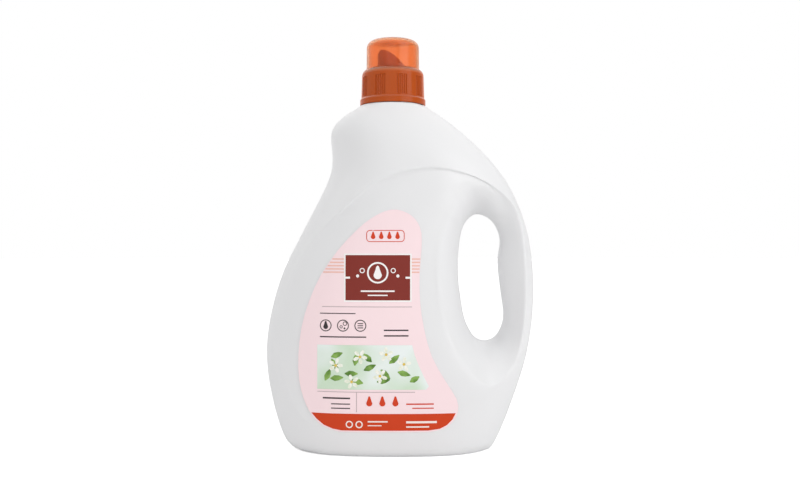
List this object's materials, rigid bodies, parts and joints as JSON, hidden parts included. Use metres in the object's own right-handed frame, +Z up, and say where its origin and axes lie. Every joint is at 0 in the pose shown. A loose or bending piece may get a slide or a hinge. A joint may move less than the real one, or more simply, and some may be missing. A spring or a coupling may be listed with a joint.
{
  "type": "laundry detergent bottle",
  "caption": "Blow-moulded laundry liquid bottle with a hand opening, a slanted pouring spout and a translucent screw cap that is also the measuring cup.",
  "frame": {"origin": "middle of the footprint's bounding box, on the plane that the bottle stands on", "axes": "+Z up along the neck, -Y is the labelled front, +X is the handle side"},
  "size_m": [0.1855, 0.0887, 0.2806],
  "materials": {
    "white_hdpe": "fine satin, as blown",
    "coral_pp": "glossy, slightly translucent",
    "sienna_pp": "satin gloss",
    "foam_pe": "matt foam",
    "label_film": "printed satin film",
    "ink_sienna": "flat ink under satin varnish",
    "ink_maroon": "flat ink under satin varnish",
    "ink_pale_green": "flat ink under satin varnish",
    "ink_leaf_green": "flat ink under satin varnish",
    "ink_white": "flat ink under satin varnish"
  },
  "bodies": {
    "bottle": {"bottle_body": "white_hdpe", "pour_spout": "sienna_pp", "front_label": "label_film", "label_band": "ink_sienna", "label_plaque": "ink_maroon", "label_picture": "ink_pale_green", "label_leaves": "ink_leaf_green", "label_blossoms": "ink_white"},
    "seal": {"seal_ring": "foam_pe"},
    "cap": {"measuring_cap": "coral_pp"}
  },
  "joints": [
    {"name": "cap_lift", "type": "slide", "parent": "bottle", "child": "seal", "axis": [0, 0, 1], "range_m": [0, 0.06]},
    {"name": "cap_turn", "type": "hinge", "parent": "seal", "child": "cap", "pos_m": [-0.005, 0, 0.25], "axis": [0, 0, 1], "range_deg": [0, 720]}
  ]
}
